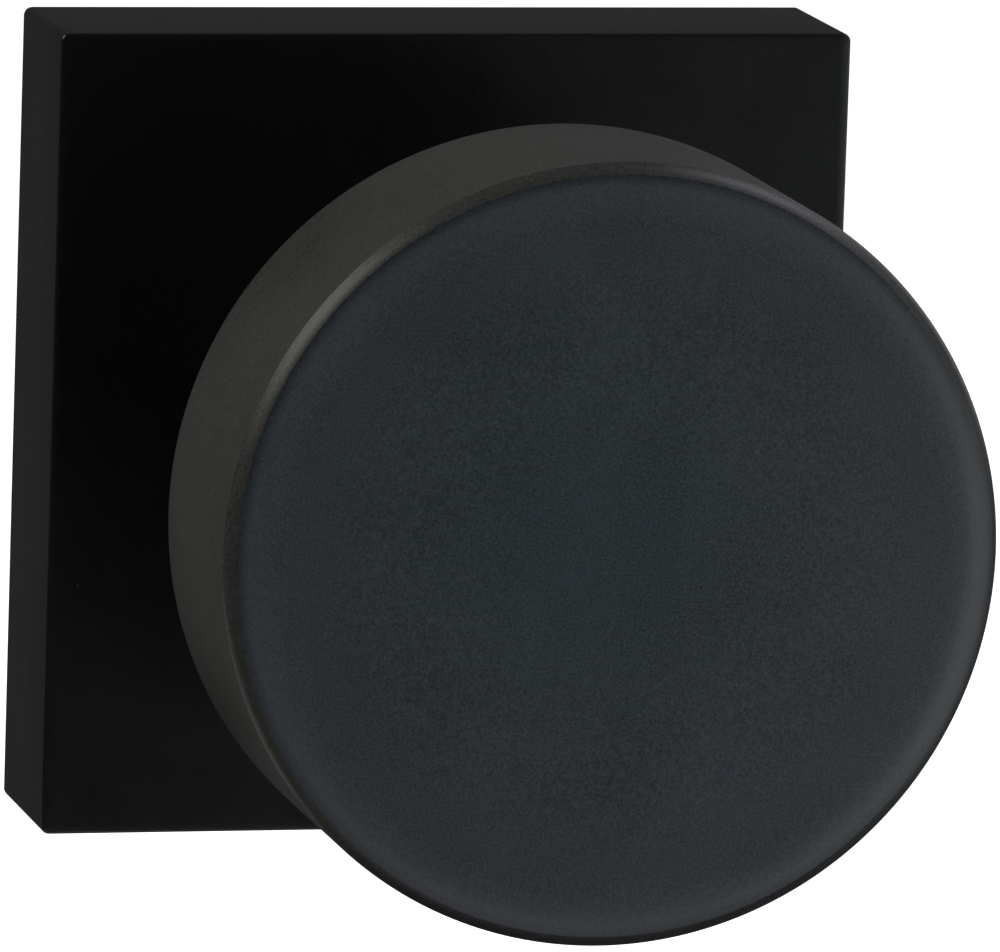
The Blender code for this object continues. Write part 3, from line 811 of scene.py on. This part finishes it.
def spring_piece():
    """The return spring: round wire from the case's slot to the hub's lug.

    Away from rest the coil's wire is sheared wide.
    """
    line = spring_centre_line()
    sides = 14
    outwards = at(0, 1, 0)
    loops = []
    for i, point in enumerate(line):
        along = (line[min(i + 1, len(line) - 1)] - line[max(i - 1, 0)]).normalized()
        aside = along.cross(outwards).normalized()
        up = aside.cross(along)
        angles = [2 * math.pi * j / sides for j in range(sides)]
        loops.append([point + (aside * math.cos(a) + up * math.sin(a)) * SPRING_WIRE for a in angles])
    steel = MATERIALS["spring_steel"]
    spring = make_piece("coil_spring", capped(loops), steel, None, "return_spring", sharp=40)
    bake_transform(spring)


# ---------------------------------------------------------------- studio


def softbox(name, azimuth, elevation, side, power, colour):
    """A square area light that faces the knob. Azimuth 0 is straight in front and 90 to the right."""
    a, e = math.radians(azimuth), math.radians(elevation)
    way = Vector((math.sin(a) * math.cos(e), -math.cos(a) * math.cos(e), math.sin(e)))
    data = bpy.data.lights.new(name, "AREA")
    data.shape = "SQUARE"
    data.size = side
    data.energy = power
    data.color = colour
    lamp = bpy.data.objects.new(name, data)
    lamp.location = SOFTBOX_AIM + way * SOFTBOX_DISTANCE
    lamp.rotation_euler = (-way).to_track_quat("-Z", "Y").to_euler()
    bpy.context.scene.collection.objects.link(lamp)


WARM = (1.0, 0.99, 0.92)
COOL = (0.93, 0.96, 1.0)
VIOLET = (0.90, 0.865, 1.0)
NEUTRAL = (1.0, 1.0, 1.0)

SOFTBOX_DISTANCE = 0.9
SOFTBOX_AIM = Vector((0, -0.04, 0))
WORLD_LEVEL = 0.060

# Each softbox: its name, azimuth and elevation in degrees, side in metres, power in watts and colour
SOFTBOXES = [
    ("left_high", -64, 36, 0.44, 1.9, WARM),
    ("left_rear", -110, 38, 0.45, 2.5, WARM),
    ("left_rear_low", -120, -35, 0.60, 1.35, WARM),
    ("left_under", -20, -42, 0.70, 0.66, COOL),
    ("right_high", 79, 52, 0.36, 1.08, VIOLET),
    ("right_side", 60, 34, 0.60, 0.6, COOL),
    ("front_low", 38, -13, 0.40, 0.84, COOL),
    ("front_under", 12, -44, 0.50, 0.84, VIOLET),
    ("right_low", 66, -14, 0.80, 1.35, COOL),
    ("right_rear", 125, 22, 0.60, 1.8, NEUTRAL),
    ("top_rear", 175, 50, 0.50, 0.12, NEUTRAL),
]


def studio():
    """The softboxes, and a world that is white to the camera and dim to everything else."""
    for sizes in SOFTBOXES:
        softbox(*sizes)

    world = bpy.data.worlds.new("studio")
    bpy.context.scene.world = world
    world.use_nodes = True
    tree = world.node_tree
    background = tree.nodes["Background"]
    background.inputs["Color"].default_value = (1.0, 1.0, 1.0, 1.0)
    path = tree.nodes.new("ShaderNodeLightPath")
    level = tree.nodes.new("ShaderNodeMapRange")
    level.inputs["To Min"].default_value = WORLD_LEVEL
    level.inputs["To Max"].default_value = 1.0
    tree.links.new(path.outputs["Is Camera Ray"], level.inputs["Value"])
    tree.links.new(level.outputs["Result"], background.inputs["Strength"])


def floor():
    """A pale floor below the knob, which throws no light on it."""
    bm = bmesh.new()
    bmesh.ops.create_circle(bm, cap_ends=True, radius=8.0, segments=64)
    bmesh.ops.translate(bm, vec=(0, 0, cad_box[0].z - FLOOR_DROP), verts=bm.verts)
    mesh = bpy.data.meshes.new("floor")
    bm.to_mesh(mesh)
    bm.free()
    paint = Nodes("floor_paint")
    tone = paint.mix(paint.noise(0.4), (0.86, 0.86, 0.86), (0.90, 0.90, 0.90))
    paint.set(base_color=tone, roughness=0.9, emission_color=(1.0, 1.0, 1.0, 1.0), emission_strength=1.0)
    mesh.materials.append(paint.material)
    obj = bpy.data.objects.new("floor", mesh)
    bpy.context.scene.collection.objects.link(obj)
    obj.visible_glossy = False
    obj.visible_diffuse = False


def camera():
    data = bpy.data.cameras.new("camera")
    data.lens = CAMERA_LENS
    data.sensor_width = SENSOR_WIDTH
    data.clip_start = 0.1
    data.clip_end = 50.0
    view = bpy.data.objects.new("camera", data)
    level = math.cos(CAMERA_ELEVATION)
    away = -math.cos(CAMERA_AZIMUTH) * level
    way = Vector((math.sin(CAMERA_AZIMUTH) * level, away, math.sin(CAMERA_ELEVATION)))
    view.location = CAMERA_AIM + way * CAMERA_DISTANCE
    view.rotation_mode = "QUATERNION"
    view.rotation_quaternion = (-way).to_track_quat("-Z", "Y") @ Quaternion((0, 0, 1), CAMERA_ROLL)
    bpy.context.scene.collection.objects.link(view)
    bpy.context.scene.camera = view


camera()
finish_cad_nodes()
puck_pieces()
rosette_piece()
neck_piece()
plate_piece()
refined_pieces()
for side in ("left", "right"):
    threaded_screw(f"door_bolt_{side}", f"through_bolt_{side}", BOLT)
for number in range(1, 5):
    threaded_screw(f"case_screw_{number}", f"lid_screw_{number}", LID_SCREW)
spring_piece()
studio()
floor()
bpy.context.scene.view_settings.view_transform = "Standard"
